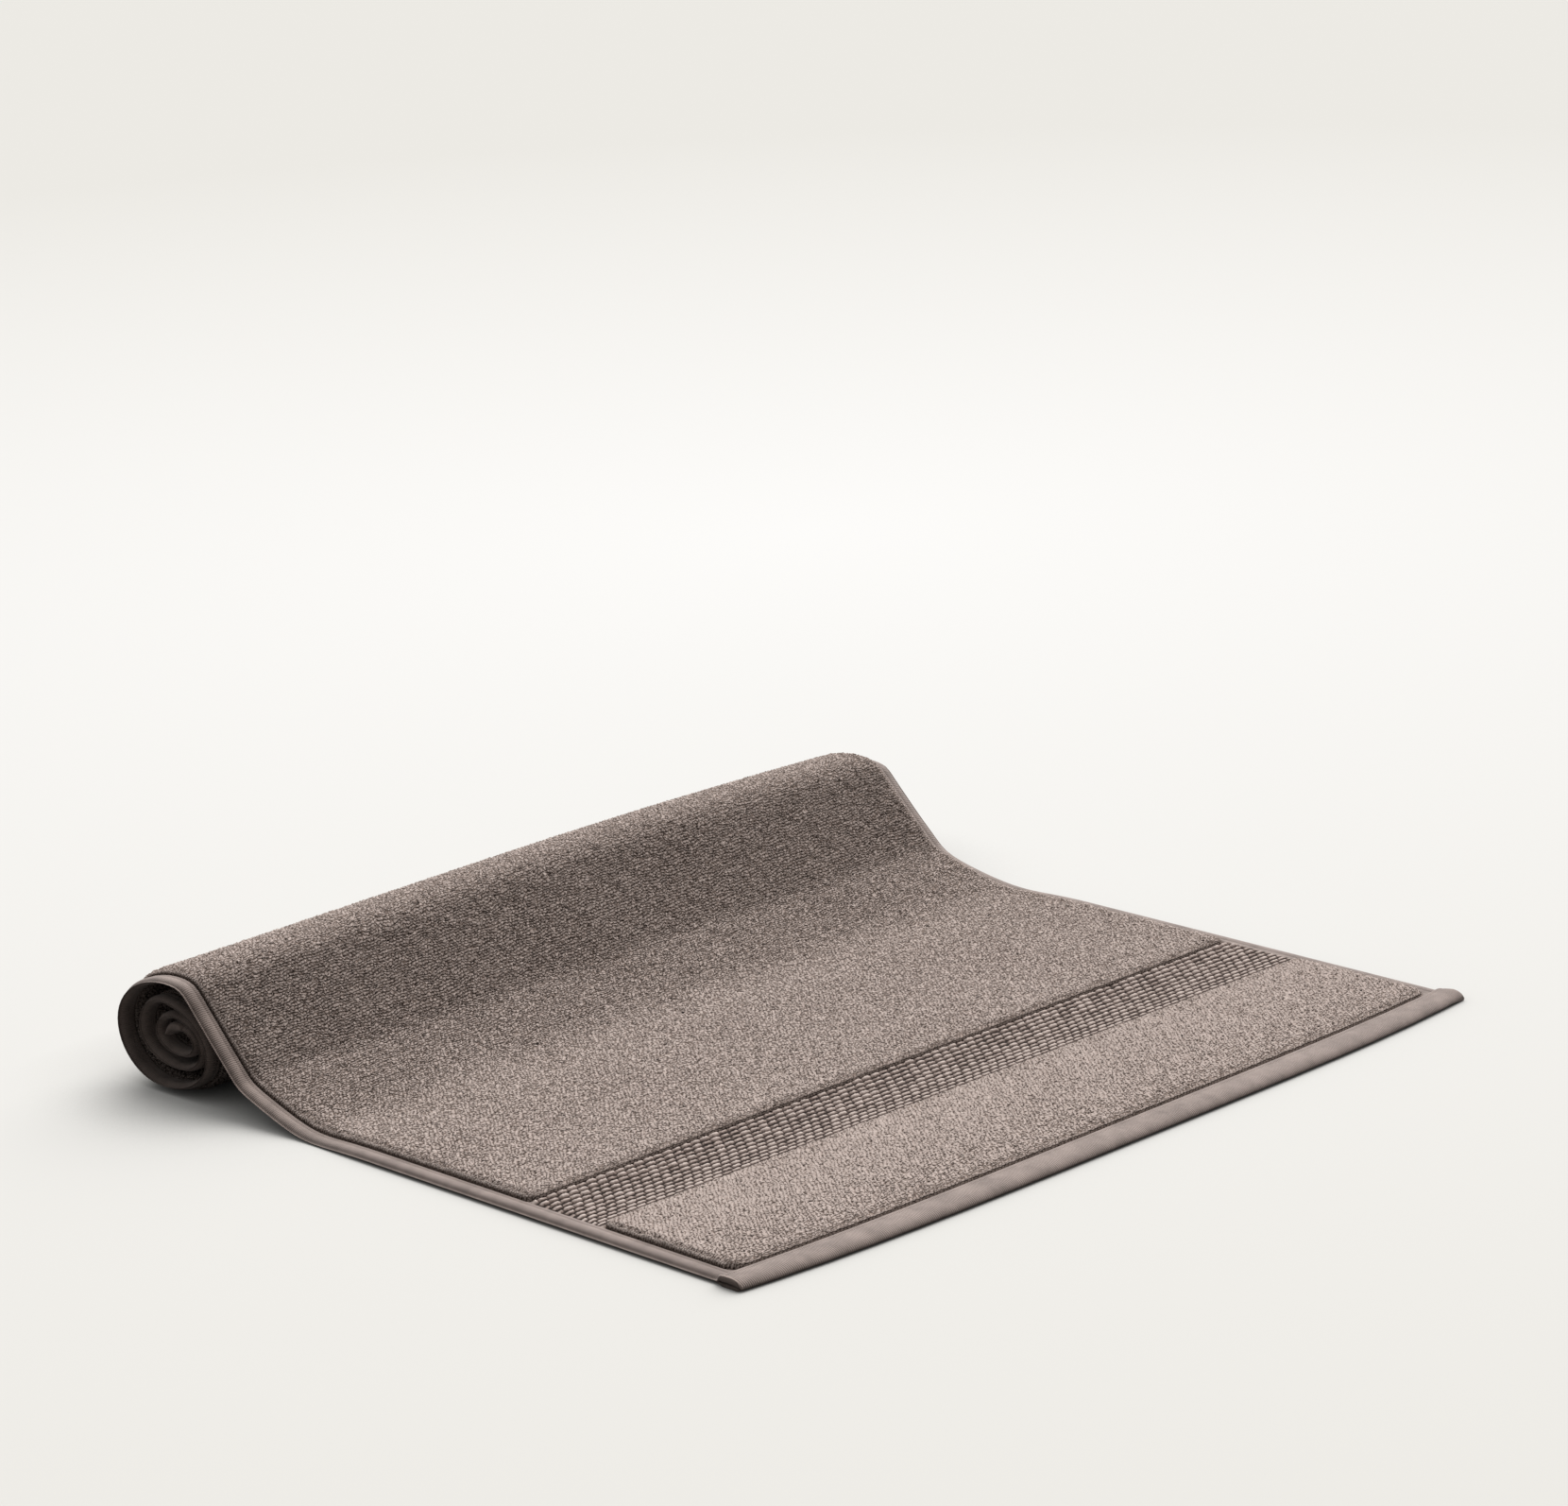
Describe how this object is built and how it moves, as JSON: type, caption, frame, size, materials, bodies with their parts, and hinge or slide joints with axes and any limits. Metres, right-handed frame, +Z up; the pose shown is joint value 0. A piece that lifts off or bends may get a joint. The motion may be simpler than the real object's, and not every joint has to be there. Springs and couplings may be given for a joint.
{
  "type": "rolled bath mat",
  "caption": "Thick cotton terry bath mat with plain hems and sunk woven bands, rolled up from one end, its other end lying flat.",
  "frame": {"origin": "on the surface it lies on, under the middle of the bounding box", "axes": "+X out of the roll along the flat part, +Y across the mat along the roll, +Z up"},
  "size_m": [0.4716, 0.5142, 0.067],
  "materials": {
    "terry": "uncut cotton terry loops, matt, taupe brown"
  },
  "bodies": {
    "root": {"bath_mat": "terry"}
  },
  "joints": []
}
